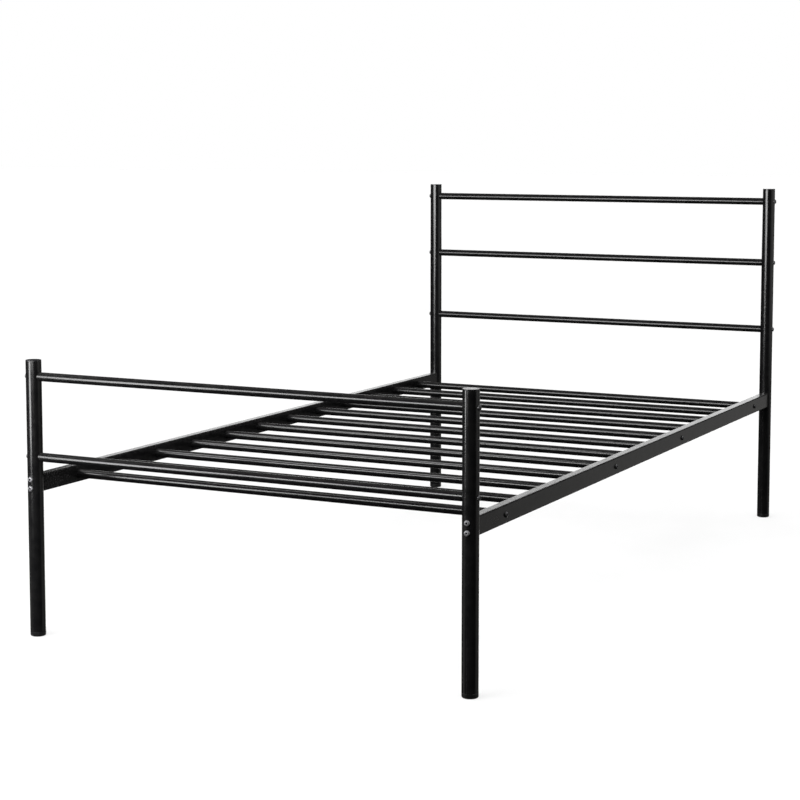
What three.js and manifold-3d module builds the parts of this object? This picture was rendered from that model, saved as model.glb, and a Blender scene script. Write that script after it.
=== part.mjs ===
// Metal bed frame, twin size. Millimetres, +Z up, +Y towards the headboard, origin on the floor
// under the middle of the bed. Four round posts carry two rectangular side rails, three
// headboard rails, two footboard rails and twelve round slats. Button-head bolts hold it all:
// they run through the posts, and through the side rails' outer walls, into welded plugs.
import * as THREE from 'three';
import { mergeVertices } from 'three/addons/utils/BufferGeometryUtils.js';
import Module from 'manifold-3d';

const wasm = await Module();
wasm.setup();

// ---------------------------------------------------------------- driving dimensions
const POST_SPACING_X = 1008;         // centre to centre across the bed
const POST_SPACING_Y = 1936;         // centre to centre along the bed
const POST_DIAMETER = 33;
const POST_WALL = 1.5;
const HEADBOARD_HEIGHT = 907;        // floor to the top of the head posts' caps
const FOOTBOARD_HEIGHT = 588;        // floor to the top of the foot posts' caps
const UPPER_RAIL_DROP = 35;          // top cross rail's axis below the caps' top
const HEADBOARD_LOWER_RAIL_RISE = 176;  // lowest cross rail's axis above the side rails' top
const FOOTBOARD_LOWER_RAIL_RISE = 37;
const HEADBOARD_MIDDLE_RAIL = 0.523; // place of the middle one between the lower and the upper
const CROSS_RAIL_DIAMETER = 19;      // headboard and footboard rails
const CROSS_RAIL_WALL = 1.5;
const SIDE_RAIL_TOP = 346;           // floor to the top of the side rails
const SIDE_RAIL_HEIGHT = 38;
const SIDE_RAIL_WIDTH = 22;
const SIDE_RAIL_WALL = 1.5;
const SIDE_RAIL_CORNER = 3;
const SLAT_COUNT = 12;
const SLAT_DIAMETER = 19;
const SLAT_WALL = 1.2;
const SLAT_DROP = 0.5;               // slat axis below the side rail's middle
const SLAT_END_MARGIN = 138.6;       // first and last slat from the posts' centres
const BOLTED_SLATS = [1, 5, 8, 12];  // counted from the head, the same from the foot
const BOLT_DIAMETER = 6;
const BOLT_HEAD_DIAMETER = 11.5;
const BOLT_HEAD_HEIGHT = 3.3;
const BOLT_SKIRT = 1.3;              // how far a post bolt's head wraps round the post
const BOLT_RIM = 0.8;                // straight edge of a bolt's head under its dome
const BOLT_CROWN_DIAMETER = 5.6;     // flat top of the dome
const BOLT_SOCKET = 4;               // hexagon socket across its flats
const BOLT_SOCKET_DEPTH = 2;
const BOLT_END_ROOM = 2;             // left free in the plug past the bolt's tip
const CORNER_BOLT_SPACING = 19.2;    // upper to lower bolt of a corner
const PLUG_LENGTH = 18;              // threaded plug welded in a tube's end
const CAP_THICKNESS = 2.5;
const CAP_RIM = 0.8;                 // chamfer round the cap's top
const CAP_STEM = 11.5;
const FOOT_HEIGHT = 10;
const FOOT_STEM = 22;
const FOOT_EDGE = 3;                 // softened edge round the sole
const FOOT_FLOOR = 4;                // thickness of the pad under the hollow stem
const MOULDED_WALL = 1.9;            // wall of the cap's and the foot's hollow stems
const GAP = 0.3;                     // clearance wherever two pieces meet

const POST_SIDES = 24;
const TUBE_SIDES = 20;
const BOLT_SIDES = 12;

// ---------------------------------------------------------------- sizes that follow
const POST_X = POST_SPACING_X / 2;
const POST_Y = POST_SPACING_Y / 2;
const POST_RADIUS = POST_DIAMETER / 2;
const COPE_RADIUS = POST_RADIUS + GAP;
const STEM_RADIUS = POST_RADIUS - POST_WALL - GAP;
const BOLT_RADIUS = BOLT_DIAMETER / 2;
const HOLE_RADIUS = BOLT_RADIUS + GAP;
const SIDE_RAIL_MID = SIDE_RAIL_TOP - SIDE_RAIL_HEIGHT / 2;
const SLAT_PITCH = (POST_SPACING_Y - 2 * SLAT_END_MARGIN) / (SLAT_COUNT - 1);
const SLAT_LENGTH = POST_SPACING_X + SIDE_RAIL_WIDTH - 2 * (SIDE_RAIL_WALL + GAP);
const CORNER_BOLTS = { lower: -CORNER_BOLT_SPACING / 2, upper: CORNER_BOLT_SPACING / 2 };
const BOLT_REACH = PLUG_LENGTH - BOLT_END_ROOM;
const SOCKET_RADIUS = BOLT_SOCKET / Math.sqrt(3);        // centre to corner
const FOOTBOARD_RAILS = {
  lower: SIDE_RAIL_TOP + FOOTBOARD_LOWER_RAIL_RISE,
  upper: FOOTBOARD_HEIGHT - UPPER_RAIL_DROP,
};
const HEADBOARD_RAILS = {
  lower: SIDE_RAIL_TOP + HEADBOARD_LOWER_RAIL_RISE,
  upper: HEADBOARD_HEIGHT - UPPER_RAIL_DROP,
};
HEADBOARD_RAILS.middle = THREE.MathUtils.lerp(
  HEADBOARD_RAILS.lower, HEADBOARD_RAILS.upper, HEADBOARD_MIDDLE_RAIL);
const SLATS = Array.from({ length: SLAT_COUNT }, (_, i) => ({
  label: `slat_${String(i + 1).padStart(2, '0')}`,
  y: ((SLAT_COUNT - 1) / 2 - i) * SLAT_PITCH,
  bolted: BOLTED_SLATS.includes(i + 1),
}));

// ---------------------------------------------------------------- solids
function toSolid(geometry) {
  const bare = geometry.clone();
  bare.deleteAttribute('normal');
  bare.deleteAttribute('uv');
  const merged = mergeVertices(bare, 1e-4);
  return new wasm.Manifold(new wasm.Mesh({
    numProp: 3,
    vertProperties: new Float32Array(merged.attributes.position.array),
    triVerts: new Uint32Array(merged.index.array),
  }));
}

function toGeometry(solid) {
  const { vertProperties, triVerts } = solid.getMesh();
  const shared = new THREE.BufferGeometry();
  shared.setAttribute('position', new THREE.BufferAttribute(vertProperties, 3));
  shared.setIndex(new THREE.BufferAttribute(triVerts, 1));
  const geometry = shared.toNonIndexed();
  geometry.computeVertexNormals();
  return geometry;
}

// Solid cylinder centred on a point, lying along x, y or z.
function rod(radius, length, axis, sides, [x, y, z] = [0, 0, 0]) {
  const geometry = new THREE.CylinderGeometry(radius, radius, length, sides);
  if (axis === 'x') geometry.rotateZ(-Math.PI / 2);
  if (axis === 'z') geometry.rotateX(Math.PI / 2);
  return toSolid(geometry.translate(x, y, z));
}

// Turned shape about +Y from [radius, height] points that start and end on the axis.
function turned(points, sides) {
  return new THREE.LatheGeometry(points.map(([r, h]) => new THREE.Vector2(r, h)), sides);
}

// Bar along Y with rounded long edges, centred on the origin.
function roundedBar(width, height, length, corner) {
  const x = width / 2 - corner;
  const z = height / 2 - corner;
  const quarter = Math.PI / 2;
  const outline = new THREE.Shape();
  [[x, z], [-x, z], [-x, -z], [x, -z]].forEach(([cx, cz], i) => {
    outline.absarc(cx, cz, corner, i * quarter, (i + 1) * quarter, false);
  });
  const bar = new THREE.ExtrudeGeometry(outline, { depth: length, bevelEnabled: false, curveSegments: 4 });
  return toSolid(bar.translate(0, 0, -length / 2).rotateX(quarter));
}

function cut(body, ...tools) {
  return tools.flat().reduce((rest, tool) => rest.subtract(tool), body);
}

// ---------------------------------------------------------------- pieces, each about its own origin
// Open tube standing on the foot, drilled along x for the cross rails' bolts and along y for
// the corner bolts. Its origin is on the floor.
function post(height, railHeights) {
  const bottom = FOOT_HEIGHT + GAP;
  const top = height - CAP_THICKNESS - GAP;
  const middle = [0, 0, (bottom + top) / 2];
  const drill = (axis, z) => rod(HOLE_RADIUS, 2 * POST_DIAMETER, axis, BOLT_SIDES, [0, 0, z]);
  return toGeometry(cut(
    rod(POST_RADIUS, top - bottom, 'z', POST_SIDES, middle),
    rod(POST_RADIUS - POST_WALL, height, 'z', POST_SIDES, middle),
    railHeights.map((z) => drill('x', z)),
    Object.values(CORNER_BOLTS).map((rise) => drill('y', SIDE_RAIL_MID + rise)),
  ));
}

// Flat cap with a softened rim and a hollow stem that presses into the post. Origin on its top.
function postCap() {
  const bore = STEM_RADIUS - MOULDED_WALL;
  const under = -CAP_THICKNESS;
  return turned([
    [0, under], [bore, under], [bore, under - CAP_STEM], [STEM_RADIUS, under - CAP_STEM],
    [STEM_RADIUS, under], [POST_RADIUS, under], [POST_RADIUS, -CAP_RIM], [POST_RADIUS - CAP_RIM, 0],
    [0, 0],
  ], POST_SIDES);
}

// Moulded foot: a rounded pad under the tube and a hollow stem inside it. Origin on the floor.
function foot() {
  const sole = POST_RADIUS - FOOT_EDGE;
  const slant = FOOT_EDGE * Math.SQRT1_2;
  const bore = STEM_RADIUS - MOULDED_WALL;
  const top = FOOT_HEIGHT + FOOT_STEM;
  return turned([
    [0, 0], [sole, 0], [sole + slant, FOOT_EDGE - slant], [POST_RADIUS, FOOT_EDGE],
    [POST_RADIUS, FOOT_HEIGHT], [STEM_RADIUS, FOOT_HEIGHT], [STEM_RADIUS, top], [bore, top],
    [bore, FOOT_FLOOR], [0, FOOT_FLOOR],
  ], POST_SIDES);
}

// Cross rail between two posts along x: coped ends, a welded plug in each, a bore in each plug.
function crossRail() {
  const cavity = POST_SPACING_X - 2 * (POST_RADIUS + PLUG_LENGTH);
  const radius = CROSS_RAIL_DIAMETER / 2;
  const cope = (x) => rod(COPE_RADIUS, 2 * CROSS_RAIL_DIAMETER, 'z', POST_SIDES, [x, 0, 0]);
  return toGeometry(cut(
    rod(radius, POST_SPACING_X, 'x', TUBE_SIDES),
    rod(radius - CROSS_RAIL_WALL, cavity, 'x', TUBE_SIDES),
    rod(HOLE_RADIUS, POST_SPACING_X, 'x', BOLT_SIDES),
    [-POST_X, POST_X].map(cope),
  ));
}

// Right side rail along y: coped ends with welded plugs, a socket for every slat in the inner
// wall, and a bolt hole in the outer wall behind each bolted slat.
function sideRail() {
  const wall = SIDE_RAIL_WALL;
  const cavity = POST_SPACING_Y - 2 * (POST_RADIUS + PLUG_LENGTH);
  const cope = (y) => rod(COPE_RADIUS, 2 * SIDE_RAIL_HEIGHT, 'z', POST_SIDES, [0, y, 0]);
  const bore = (z) => rod(HOLE_RADIUS, POST_SPACING_Y, 'y', BOLT_SIDES, [0, 0, z]);
  const reach = SIDE_RAIL_WIDTH / 2;
  const pierce = (radius, sides, x, y) => rod(radius, reach, 'x', sides, [x, y, -SLAT_DROP]);
  const socket = ({ y }) => pierce(SLAT_DIAMETER / 2 + GAP, TUBE_SIDES, -reach, y);
  const hole = ({ y }) => pierce(HOLE_RADIUS, BOLT_SIDES, reach, y);
  return toGeometry(cut(
    roundedBar(SIDE_RAIL_WIDTH, SIDE_RAIL_HEIGHT, POST_SPACING_Y, SIDE_RAIL_CORNER),
    roundedBar(SIDE_RAIL_WIDTH - 2 * wall, SIDE_RAIL_HEIGHT - 2 * wall, cavity, SIDE_RAIL_CORNER - wall),
    [-POST_Y, POST_Y].map(cope),
    Object.values(CORNER_BOLTS).map(bore),
    SLATS.map(socket),
    SLATS.filter(({ bolted }) => bolted).map(hole),
  ));
}

// Round slat along x. Bolted ones carry a drilled plug in each end, the rest are open tube.
function slat(bolted) {
  const radius = SLAT_DIAMETER / 2;
  const cavity = bolted ? SLAT_LENGTH - 2 * PLUG_LENGTH : SLAT_LENGTH + 2;
  return toGeometry(cut(
    rod(radius, SLAT_LENGTH, 'x', TUBE_SIDES),
    rod(radius - SLAT_WALL, cavity, 'x', TUBE_SIDES),
    bolted ? rod(HOLE_RADIUS, SLAT_LENGTH + 2, 'x', BOLT_SIDES) : [],
  ));
}

// Button-head bolt along +y with its seat at the origin and a hexagon socket in its head. The
// skirt is the part of the head below the seat, for a curved seat to be cut into.
function bolt(shank, skirt) {
  const rim = BOLT_HEAD_DIAMETER / 2;
  const crown = BOLT_CROWN_DIAMETER / 2;
  const top = BOLT_HEAD_HEIGHT;
  const shoulder = [crown + (rim - crown) * 0.6, BOLT_RIM + (top - BOLT_RIM) * 0.7];
  const body = toSolid(turned([
    [0, -shank], [BOLT_RADIUS, -shank], [BOLT_RADIUS, -skirt], [rim, -skirt],
    [rim, BOLT_RIM], shoulder, [crown, top], [0, top],
  ], BOLT_SIDES));
  return cut(body, rod(SOCKET_RADIUS, 2 * BOLT_SOCKET_DEPTH, 'y', 6, [0, top, 0]));
}

// Bolt through a post: the skirt of its head is hollowed to sit on the round tube.
function postBolt() {
  const centre = [0, -COPE_RADIUS, 0];
  const tube = rod(COPE_RADIUS, POST_DIAMETER, 'z', POST_SIDES, centre);
  const seat = cut(tube, rod(BOLT_RADIUS, 2 * POST_DIAMETER, 'y', BOLT_SIDES, centre));
  return toGeometry(cut(bolt(2 * COPE_RADIUS + BOLT_REACH, BOLT_SKIRT), seat));
}

// Bolt through the side rail's outer wall into a slat's plug.
function slatBolt() {
  return toGeometry(bolt(SIDE_RAIL_WALL + 2 * GAP + BOLT_REACH, 0));
}

// ---------------------------------------------------------------- assembly
const FINISHES = {
  coat: { color: 0x111113, roughness: 0.38, metalness: 0.2 },
  plastic: { color: 0x0d0d0e, roughness: 0.5, metalness: 0 },
  black_zinc: { color: 0x1a1a1c, roughness: 0.35, metalness: 0.8 },
  bright_zinc: { color: 0x9b9ea2, roughness: 0.3, metalness: 1 },
};

const UPRIGHT = [Math.PI / 2, 0, 0];       // turns a lathe's +y to +z
const TOWARDS_RIGHT = [0, 0, -Math.PI / 2];
const TOWARDS_LEFT = [0, 0, Math.PI / 2];
const OUTWARD = [0, 0, 0];

function addPiece(parent, name, geometry, finish, position, rotation = [0, 0, 0]) {
  const mesh = new THREE.Mesh(geometry, new THREE.MeshStandardMaterial(FINISHES[finish]));
  mesh.name = name;
  mesh.position.set(...position);
  mesh.rotation.set(...rotation);
  parent.add(mesh);
}

const CAP = postCap();
const FOOT = foot();
const CROSS_RAIL = crossRail();
const POST_BOLT = postBolt();
const SLAT_BOLT = slatBolt();

// Headboard or footboard: two posts with feet, caps and corner bolts, joined by cross rails.
// It is built with its outer side towards +y; the footboard is then turned to face -y.
function endFrame(end, height, railHeights, facing) {
  const frame = new THREE.Group();
  frame.position.y = facing * POST_Y;
  frame.rotation.z = facing > 0 ? 0 : Math.PI;
  const rails = Object.entries(railHeights);
  const tube = post(height, Object.values(railHeights));
  for (const x of [-POST_X, POST_X]) {
    const side = x * facing > 0 ? 'right' : 'left';
    addPiece(frame, `${end}_post_${side}`, tube, 'coat', [x, 0, 0]);
    addPiece(frame, `${end}_post_cap_${side}`, CAP, 'plastic', [x, 0, height], UPRIGHT);
    addPiece(frame, `${end}_foot_${side}`, FOOT, 'plastic', [x, 0, 0], UPRIGHT);
    for (const [level, z] of rails) {
      const seat = [x + Math.sign(x) * COPE_RADIUS, 0, z];
      const turn = x > 0 ? TOWARDS_RIGHT : TOWARDS_LEFT;
      addPiece(frame, `${end}_${level}_rail_bolt_${side}`, POST_BOLT, 'black_zinc', seat, turn);
    }
    for (const [level, rise] of Object.entries(CORNER_BOLTS)) {
      const seat = [x, COPE_RADIUS, SIDE_RAIL_MID + rise];
      addPiece(frame, `${end}_corner_bolt_${level}_${side}`, POST_BOLT, 'bright_zinc', seat, OUTWARD);
    }
  }
  for (const [level, z] of rails) {
    addPiece(frame, `${end}_rail_${level}`, CROSS_RAIL, 'coat', [0, 0, z]);
  }
  return frame;
}

// Side rails and slats. The left rail is the right one turned half a circle about z.
function baseFrame() {
  const base = new THREE.Group();
  base.position.z = SIDE_RAIL_MID;
  const rail = sideRail();
  const plain = slat(false);
  const drilled = slat(true);
  addPiece(base, 'side_rail_right', rail, 'coat', [POST_X, 0, 0]);
  addPiece(base, 'side_rail_left', rail, 'coat', [-POST_X, 0, 0], [0, 0, Math.PI]);
  for (const { label, y, bolted } of SLATS) {
    addPiece(base, label, bolted ? drilled : plain, 'coat', [0, y, -SLAT_DROP]);
    if (!bolted) continue;
    const seat = POST_X + SIDE_RAIL_WIDTH / 2 + GAP;
    addPiece(base, `${label}_bolt_right`, SLAT_BOLT, 'black_zinc', [seat, y, -SLAT_DROP], TOWARDS_RIGHT);
    addPiece(base, `${label}_bolt_left`, SLAT_BOLT, 'black_zinc', [-seat, y, -SLAT_DROP], TOWARDS_LEFT);
  }
  return base;
}

const bed = new THREE.Group();
bed.name = 'metal_bed_frame';
bed.add(endFrame('headboard', HEADBOARD_HEIGHT, HEADBOARD_RAILS, 1));
bed.add(endFrame('footboard', FOOTBOARD_HEIGHT, FOOTBOARD_RAILS, -1));
bed.add(baseFrame());

export default bed;
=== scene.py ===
"""Looks of a knock-down metal bed frame, built around its packed design.

Every piece of the bed is remade as a fine mesh in the place of its plain design solid: drawn
tubes with true coped ends, a drilled box section for the side rails, moulded caps and feet, and
turned button-head bolts with hexagon sockets. Lengths are in metres, in the design's own frame:
+Z up, +Y towards the headboard, origin on the floor under the middle of the bed.
"""

import logging
import math
from dataclasses import dataclass, field
from enum import Enum
from typing import Callable, Iterable, Sequence

import bmesh
import bpy
from mathutils import Matrix, Vector


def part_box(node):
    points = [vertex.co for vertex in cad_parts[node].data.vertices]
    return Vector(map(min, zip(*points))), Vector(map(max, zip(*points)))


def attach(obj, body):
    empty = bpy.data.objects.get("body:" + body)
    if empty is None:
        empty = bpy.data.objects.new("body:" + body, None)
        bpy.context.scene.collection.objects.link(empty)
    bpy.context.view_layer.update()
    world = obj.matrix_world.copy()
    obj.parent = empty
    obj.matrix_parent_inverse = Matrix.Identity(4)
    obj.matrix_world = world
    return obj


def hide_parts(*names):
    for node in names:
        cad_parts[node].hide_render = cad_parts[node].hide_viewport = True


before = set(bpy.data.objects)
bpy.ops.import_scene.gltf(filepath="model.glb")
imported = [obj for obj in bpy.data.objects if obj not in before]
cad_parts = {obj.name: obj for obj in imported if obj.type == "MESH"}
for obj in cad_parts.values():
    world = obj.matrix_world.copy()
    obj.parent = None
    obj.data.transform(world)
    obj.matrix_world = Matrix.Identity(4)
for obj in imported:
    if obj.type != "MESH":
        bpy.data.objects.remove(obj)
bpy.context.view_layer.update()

LOG = logging.getLogger("bed_frame")
MM = 0.001
BODY = "root"
HOLE_SIDES = 32
SOCKET_SIDES = 64


# ------------------------------------------------------------------ options
class Finish(Enum):
    """Finishes of the bed's pieces, by the name of their material slot."""

    POWDER_COAT = "black_powder_coat"
    FOOT_PLASTIC = "foot_plastic"
    CAP_PLASTIC = "cap_plastic"
    BRIGHT_ZINC = "bright_zinc"
    BLACK_ZINC = "black_zinc"


class Section(Enum):
    """Outline of one ring of a turned piece."""

    ROUND = "round"
    HEXAGON = "hexagon"


class Axis(Enum):
    """Direction in which a piece that is built along +Z gets laid."""

    LEFT = "left"
    RIGHT = "right"
    TO_HEAD = "to_head"
    TO_FOOT = "to_foot"

    @property
    def turn(self) -> Matrix:
        """Rotation from +Z to this direction, keeping a sideways piece's own +Y upright.

        Returns:
            The rotation.
        """
        return {
            Axis.RIGHT: Matrix(((0, 0, 1, 0), (1, 0, 0, 0), (0, 1, 0, 0), (0, 0, 0, 1))),
            Axis.LEFT: Matrix(((0, 0, -1, 0), (-1, 0, 0, 0), (0, 1, 0, 0), (0, 0, 0, 1))),
            Axis.TO_HEAD: Matrix(((-1, 0, 0, 0), (0, 0, 1, 0), (0, 1, 0, 0), (0, 0, 0, 1))),
            Axis.TO_FOOT: Matrix(((1, 0, 0, 0), (0, 0, -1, 0), (0, 1, 0, 0), (0, 0, 0, 1))),
        }[self]


# ------------------------------------------------------------------ design boxes
@dataclass(frozen=True)
class NodeBox:
    """Box of a design node at rest."""

    low: Vector
    high: Vector

    @classmethod
    def of(cls, node: str) -> "NodeBox":
        """Reads a node's box.

        Args:
            node: name of the design node.

        Returns:
            Its box.
        """
        low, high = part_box(node)
        return cls(Vector(low), Vector(high))

    @property
    def centre(self) -> Vector:
        """Middle of the box."""
        return (self.low + self.high) / 2

    @property
    def size(self) -> Vector:
        """Lengths of the box along X, Y and Z."""
        return self.high - self.low


# ------------------------------------------------------------------ turned and extruded meshes
@dataclass(frozen=True)
class Ring:
    """One ring of a turned piece.

    A hexagon's radius is half its width across flats, and its corners lie on vertices when the
    number of sides is a multiple of six.
    """

    radius: float
    height: float
    section: Section = Section.ROUND

    def point(self, share: float) -> Vector:
        """Point of the ring.

        Args:
            share: how far round, from 0 to 1.

        Returns:
            The point, with the ring's axis along Z.
        """
        angle = 2 * math.pi * share
        reach = self.radius
        if self.section is Section.HEXAGON:
            sixth = math.pi / 3
            reach /= math.cos(angle % sixth - sixth / 2)
        return Vector((reach * math.cos(angle), reach * math.sin(angle), self.height))


def arc(centre: tuple[float, float], radius: float, start: float, end: float, steps: int) -> list[Ring]:
    """Rings of a rounded edge.

    Args:
        centre: radius and height of the arc's centre.
        radius: radius of the rounding.
        start: first angle in degrees, from 0 outwards to 90 upwards.
        end: last angle in degrees.
        steps: number of stretches.

    Returns:
        The rings in order.
    """
    angles = [math.radians(start + (end - start) * i / steps) for i in range(steps + 1)]
    return [Ring(centre[0] + radius * math.cos(a), centre[1] + radius * math.sin(a)) for a in angles]


def bridge(mesh: bmesh.types.BMesh, lower: list[bmesh.types.BMVert],
           upper: list[bmesh.types.BMVert]) -> None:
    """Joins two rings with faces.

    Args:
        mesh: mesh that holds both rings.
        lower: vertices of the first ring, or its single pole.
        upper: vertices of the second ring, or its single pole.
    """
    count = max(len(lower), len(upper))
    for i in range(count):
        j = (i + 1) % count
        if len(lower) == 1:
            mesh.faces.new((lower[0], upper[j], upper[i]))
        elif len(upper) == 1:
            mesh.faces.new((lower[i], lower[j], upper[0]))
        else:
            mesh.faces.new((lower[i], lower[j], upper[j], upper[i]))


def spin(rings: Sequence[Ring], sides: int, closed: bool = False) -> bmesh.types.BMesh:
    """Turns rings into a closed surface about Z.

    Args:
        rings: rings in order; a first or last ring of radius 0 is a pole.
        sides: vertices of a full ring.
        closed: joins the last ring to the first, as a tube's profile does.

    Returns:
        The mesh, its faces pointing out.
    """
    mesh = bmesh.new()
    loops = []
    for ring in rings:
        shares = [0.0] if ring.radius == 0 else [i / sides for i in range(sides)]
        loops.append([mesh.verts.new(ring.point(share)) for share in shares])
    pairs = list(zip(loops, loops[1:]))
    if closed:
        pairs.append((loops[-1], loops[0]))
    for lower, upper in pairs:
        bridge(mesh, lower, upper)
    bmesh.ops.recalc_face_normals(mesh, faces=mesh.faces)
    return mesh


def cylinder(radius: float, start: Vector, end: Vector, sides: int, into: bmesh.types.BMesh) -> None:
    """Adds a capped cylinder, used as a drill, to a mesh.

    Args:
        radius: radius of the cylinder.
        start: centre of its first end.
        end: centre of its last end.
        sides: number of sides.
        into: mesh that receives it.
    """
    line = end - start
    place = Matrix.Translation((start + end) / 2) @ line.to_track_quat("Z", "Y").to_matrix().to_4x4()
    bmesh.ops.create_cone(
        into, cap_ends=True, segments=sides, radius1=radius, radius2=radius, depth=line.length, matrix=place)


def linked(name: str, data: bpy.types.ID) -> bpy.types.Object:
    """Makes an object and links it to the scene.

    Args:
        name: name of the object.
        data: its mesh, light or camera.

    Returns:
        The object.
    """
    thing = bpy.data.objects.new(name, data)
    bpy.context.scene.collection.objects.link(thing)
    return thing


def loose(mesh: bmesh.types.BMesh, name: str) -> bpy.types.Object:
    """Makes an unfinished object from a mesh under construction.

    Args:
        mesh: mesh to take over; it is freed.
        name: name of the object.

    Returns:
        The object, linked to the scene.
    """
    data = bpy.data.meshes.new(name)
    mesh.to_mesh(data)
    mesh.free()
    return linked(name, data)


@dataclass(frozen=True)
class BoxSection:
    """Rounded rectangle of a box tube, described by columns of equal width either side of Z."""

    width: float
    height: float
    corner: float
    corner_steps: int = 6

    def columns(self) -> list[tuple[float, float]]:
        """Columns of the outline.

        Returns:
            Pairs of place across and half height, from the left side to the right.
        """
        flat = self.width / 2 - self.corner
        rise = self.height / 2 - self.corner
        turns = [math.pi / 2 * i / self.corner_steps for i in range(self.corner_steps + 1)]
        right = [(flat + self.corner * math.sin(t), rise + self.corner * math.cos(t)) for t in turns]
        left = [(-x, z) for x, z in reversed(right)]
        middle = [(flat * share, self.height / 2) for share in (-0.66, -0.33, 0.0, 0.33, 0.66)]
        return left + middle + right

    def bar(self, end_of: Callable[[float], float]) -> bmesh.types.BMesh:
        """Extrudes the section along Y into a solid bar.

        Args:
            end_of: distance from the middle to the bar's end, for a place across.

        Returns:
            The bar, centred on the origin.
        """
        mesh = bmesh.new()
        columns = self.columns()
        rows = {}
        for sign in (-1, 1):
            top = [mesh.verts.new((x, sign * end_of(x), z)) for x, z in columns]
            low = [mesh.verts.new((x, sign * end_of(x), -z)) for x, z in columns]
            rows[sign] = (top, low)
        for top, low in rows.values():
            for i in range(len(columns) - 1):
                mesh.faces.new((top[i], top[i + 1], low[i + 1], low[i]))
        outlines = [top + list(reversed(low)) for top, low in rows.values()]
        bridge(mesh, outlines[0], outlines[1])
        bmesh.ops.recalc_face_normals(mesh, faces=mesh.faces)
        return mesh


# ------------------------------------------------------------------ shader node helpers
class Nodes:
    """Thin wrapper that adds, sets and links shader nodes in one tree."""

    def __init__(self, tree: bpy.types.NodeTree) -> None:
        """Keeps the tree that nodes are added to."""
        self.tree = tree

    def add(self, kind: str, props: dict | None = None, **inputs: object) -> bpy.types.Node:
        """Adds a node.

        Args:
            kind: Blender's type name of the node.
            props: properties to set on it.
            **inputs: values or output sockets by input name, spaces written as underscores.

        Returns:
            The node.
        """
        node = self.tree.nodes.new(kind)
        for name, value in (props or {}).items():
            setattr(node, name, value)
        for name, value in inputs.items():
            self.feed(node.inputs[name.replace("_", " ")], value)
        return node

    def feed(self, socket: bpy.types.NodeSocket, value: object) -> None:
        """Links an output to a socket, or sets the socket's own value.

        Args:
            socket: input socket.
            value: output socket, or the value to set.
        """
        if isinstance(value, bpy.types.NodeSocket):
            self.tree.links.new(value, socket)
        else:
            socket.default_value = value

    def math(self, operation: str, *values: object) -> bpy.types.NodeSocket:
        """Adds a Math node.

        Args:
            operation: Blender's name of the operation.
            *values: numbers or sockets, in the node's order.

        Returns:
            Its output.
        """
        node = self.tree.nodes.new("ShaderNodeMath")
        node.operation = operation
        for socket, value in zip(node.inputs, values):
            self.feed(socket, value)
        return node.outputs[0]

    def noise(self, where: object, scale: float, detail: float = 3.0,
              rough: float = 0.5) -> bpy.types.NodeSocket:
        """Adds a noise texture.

        Args:
            where: vector output that places it.
            scale: features per metre.
            detail: octaves.
            rough: strength of the finer octaves.

        Returns:
            Its grey output.
        """
        node = self.add("ShaderNodeTexNoise", Vector=where, Scale=scale, Detail=detail, Roughness=rough)
        return node.outputs["Fac"]

    def spread(self, value: object, low: float, high: float, to_low: float = 0.0,
               to_high: float = 1.0) -> bpy.types.NodeSocket:
        """Maps a value from one range to another, clamped and smooth.

        Args:
            value: number or socket.
            low: start of its range.
            high: end of its range.
            to_low: result at low.
            to_high: result at high.

        Returns:
            The mapped value.
        """
        node = self.tree.nodes.new("ShaderNodeMapRange")
        node.interpolation_type = "SMOOTHSTEP"
        for name, number in (("Value", value), ("From Min", low), ("From Max", high),
                             ("To Min", to_low), ("To Max", to_high)):
            self.feed(node.inputs[name], number)
        return node.outputs["Result"]

    def blend(self, factor: object, first: object, second: object) -> bpy.types.NodeSocket:
        """Mixes two colours.

        Args:
            factor: share of the second.
            first: colour or socket.
            second: colour or socket.

        Returns:
            The mixed colour.
        """
        node = self.tree.nodes.new("ShaderNodeMix")
        node.data_type = "RGBA"
        self.feed(node.inputs[0], factor)
        self.feed(node.inputs[6], first)
        self.feed(node.inputs[7], second)
        return node.outputs[2]

    def group(self, tree: bpy.types.NodeTree, **inputs: object) -> bpy.types.Node:
        """Places a node group with its own values.

        Args:
            tree: the group.
            **inputs: values or output sockets by input name, spaces written as underscores.

        Returns:
            The group's node.
        """
        node = self.tree.nodes.new("ShaderNodeGroup")
        node.node_tree = tree
        for name, value in inputs.items():
            self.feed(node.inputs[name.replace("_", " ")], value)
        return node


def new_group(name: str, inputs: dict[str, tuple[str, object]], outputs: dict[str, str]) -> tuple:
    """Starts a shader node group.

    Args:
        name: name of the group.
        inputs: socket kind and default by input name.
        outputs: socket kind by output name.

    Returns:
        The tree, its node helper, its input node and its output node.
    """
    tree = bpy.data.node_groups.new(name, "ShaderNodeTree")
    for label, (kind, default) in inputs.items():
        socket = tree.interface.new_socket(name=label, in_out="INPUT", socket_type=kind)
        if default is not None:
            socket.default_value = default
    for label, kind in outputs.items():
        tree.interface.new_socket(name=label, in_out="OUTPUT", socket_type=kind)
    nodes = Nodes(tree)
    return tree, nodes, tree.nodes.new("NodeGroupInput"), tree.nodes.new("NodeGroupOutput")


FLOAT = "NodeSocketFloat"
VECTOR = "NodeSocketVector"


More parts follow.
